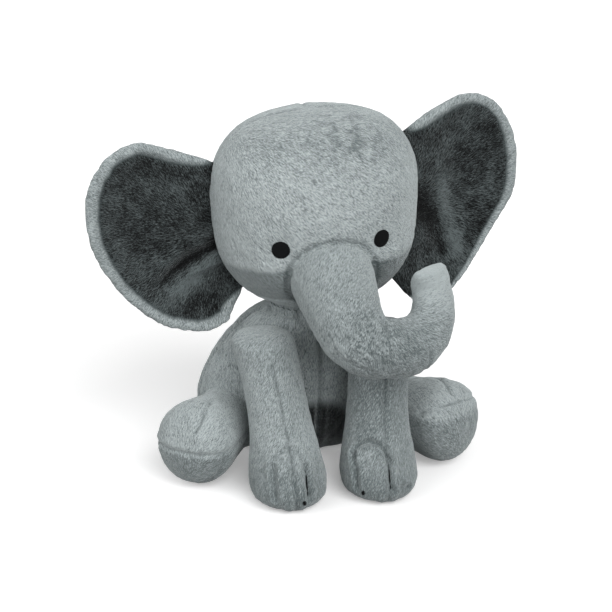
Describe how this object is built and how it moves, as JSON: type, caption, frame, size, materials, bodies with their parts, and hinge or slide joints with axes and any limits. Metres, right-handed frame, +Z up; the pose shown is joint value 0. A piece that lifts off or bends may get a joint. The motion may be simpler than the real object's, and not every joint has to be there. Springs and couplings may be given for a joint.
{
  "type": "stuffed elephant",
  "caption": "Sitting plush elephant with big cupped ears, an upcurled trunk and stuffed legs that bend at their seams.",
  "frame": {"origin": "on the floor, under the middle of the toy's bounding box", "axes": "+X to the toy's own left, -Y the way it faces, +Z up"},
  "size_m": [0.2721, 0.1903, 0.2262],
  "materials": {
    "grey_plush": "short pile plush",
    "dark_plush": "short pile plush",
    "cheek_plush": "short pile plush, nap lying down",
    "fibre_filling": "loose polyester fibre",
    "black_thread": "satin stitch",
    "grey_thread": "matt thread",
    "label_tape": "woven satin tape"
  },
  "bodies": {
    "torso": {"torso_front_left": "grey_plush", "torso_front_right": "grey_plush", "torso_back_left": "grey_plush", "torso_back_right": "grey_plush", "seat_panel": "grey_plush", "torso_stuffing": "fibre_filling", "closing_stitch": "grey_thread", "care_label": "label_tape"},
    "neck": {"neck_stuffing": "fibre_filling", "neck_stitch_ring": "grey_thread"},
    "head": {"face_panel": "grey_plush", "cheek_left": "cheek_plush", "cheek_right": "cheek_plush", "chin_panel": "grey_plush", "head_back_left": "grey_plush", "head_back_right": "grey_plush", "head_stuffing": "fibre_filling", "eye_left": "black_thread", "eye_right": "black_thread"},
    "ear_left": {"ear_left_back": "grey_plush", "ear_left_lining": "dark_plush", "ear_left_batting": "fibre_filling"},
    "ear_right": {"ear_right_back": "grey_plush", "ear_right_lining": "dark_plush", "ear_right_batting": "fibre_filling"},
    "trunk_root": {"trunk_root_top": "grey_plush", "trunk_root_under": "grey_plush", "trunk_root_stuffing": "fibre_filling"},
    "trunk_tip": {"trunk_tip_top": "grey_plush", "trunk_tip_under": "grey_plush", "trunk_tip_end": "grey_plush", "trunk_tip_stuffing": "fibre_filling"},
    "front_leg_left": {"front_leg_left_outer": "grey_plush", "front_leg_left_inner": "grey_plush", "front_leg_left_sole": "grey_plush", "front_leg_left_stuffing": "fibre_filling", "front_leg_left_toe_stitches": "black_thread"},
    "front_leg_right": {"front_leg_right_outer": "grey_plush", "front_leg_right_inner": "grey_plush", "front_leg_right_sole": "grey_plush", "front_leg_right_stuffing": "fibre_filling", "front_leg_right_toe_stitches": "black_thread"},
    "hind_leg_left": {"hind_leg_left_upper": "grey_plush", "hind_leg_left_lower": "grey_plush", "hind_leg_left_sole": "grey_plush", "hind_leg_left_stuffing": "fibre_filling"},
    "hind_leg_right": {"hind_leg_right_upper": "grey_plush", "hind_leg_right_lower": "grey_plush", "hind_leg_right_sole": "grey_plush", "hind_leg_right_stuffing": "fibre_filling"},
    "tail": {"tail_cover": "grey_plush", "tail_stuffing": "fibre_filling"}
  },
  "joints": [
    {"name": "neck_nod", "type": "hinge", "parent": "torso", "child": "neck", "pos_m": [0, 0.015, 0.104], "axis": [-1, 0, 0], "range_deg": [-4, 12], "stiffness_Nm_per_rad": 0.6},
    {"name": "head_turn", "type": "hinge", "parent": "neck", "child": "head", "pos_m": [0, 0.015, 0.104], "axis": [0, 0, 1], "range_deg": [-10, 10], "stiffness_Nm_per_rad": 0.5},
    {"name": "ear_left_flap", "type": "hinge", "parent": "head", "child": "ear_left", "pos_m": [0.06244, 0.012, 0.16326], "axis": [0.0523, 0, -0.9986], "range_deg": [-12, 25], "stiffness_Nm_per_rad": 0.03},
    {"name": "ear_right_flap", "type": "hinge", "parent": "head", "child": "ear_right", "pos_m": [-0.06103, 0.012, 0.14978], "axis": [-0.0523, 0, 0.9986], "range_deg": [-12, 25], "stiffness_Nm_per_rad": 0.03},
    {"name": "trunk_lift", "type": "hinge", "parent": "head", "child": "trunk_root", "pos_m": [0.00194, -0.036, 0.13305], "axis": [-0.9986, 0, -0.0523], "range_deg": [-3, 25], "stiffness_Nm_per_rad": 0.3},
    {"name": "trunk_curl", "type": "hinge", "parent": "trunk_root", "child": "trunk_tip", "pos_m": [0.03163, -0.075, 0.10156], "axis": [0.0695, -0.9418, 0.3289], "range_deg": [-25, 15], "stiffness_Nm_per_rad": 0.12},
    {"name": "front_leg_left_swing", "type": "hinge", "parent": "torso", "child": "front_leg_left", "pos_m": [0.037, -0.021, 0.092], "axis": [-1, 0, 0], "range_deg": [0, 35], "stiffness_Nm_per_rad": 0.3},
    {"name": "front_leg_right_swing", "type": "hinge", "parent": "torso", "child": "front_leg_right", "pos_m": [-0.037, -0.021, 0.092], "axis": [-1, 0, 0], "range_deg": [0, 35], "stiffness_Nm_per_rad": 0.3},
    {"name": "hind_leg_left_spread", "type": "hinge", "parent": "torso", "child": "hind_leg_left", "pos_m": [0.048, 0.02, 0.028], "axis": [0, 0, 1], "range_deg": [0, 15], "stiffness_Nm_per_rad": 0.3},
    {"name": "hind_leg_right_spread", "type": "hinge", "parent": "torso", "child": "hind_leg_right", "pos_m": [-0.048, 0.02, 0.028], "axis": [0, 0, -1], "range_deg": [0, 15], "stiffness_Nm_per_rad": 0.3},
    {"name": "tail_lift", "type": "hinge", "parent": "torso", "child": "tail", "pos_m": [0, 0.076, 0.052], "axis": [1, 0, 0], "range_deg": [0, 40], "stiffness_Nm_per_rad": 0.01}
  ]
}
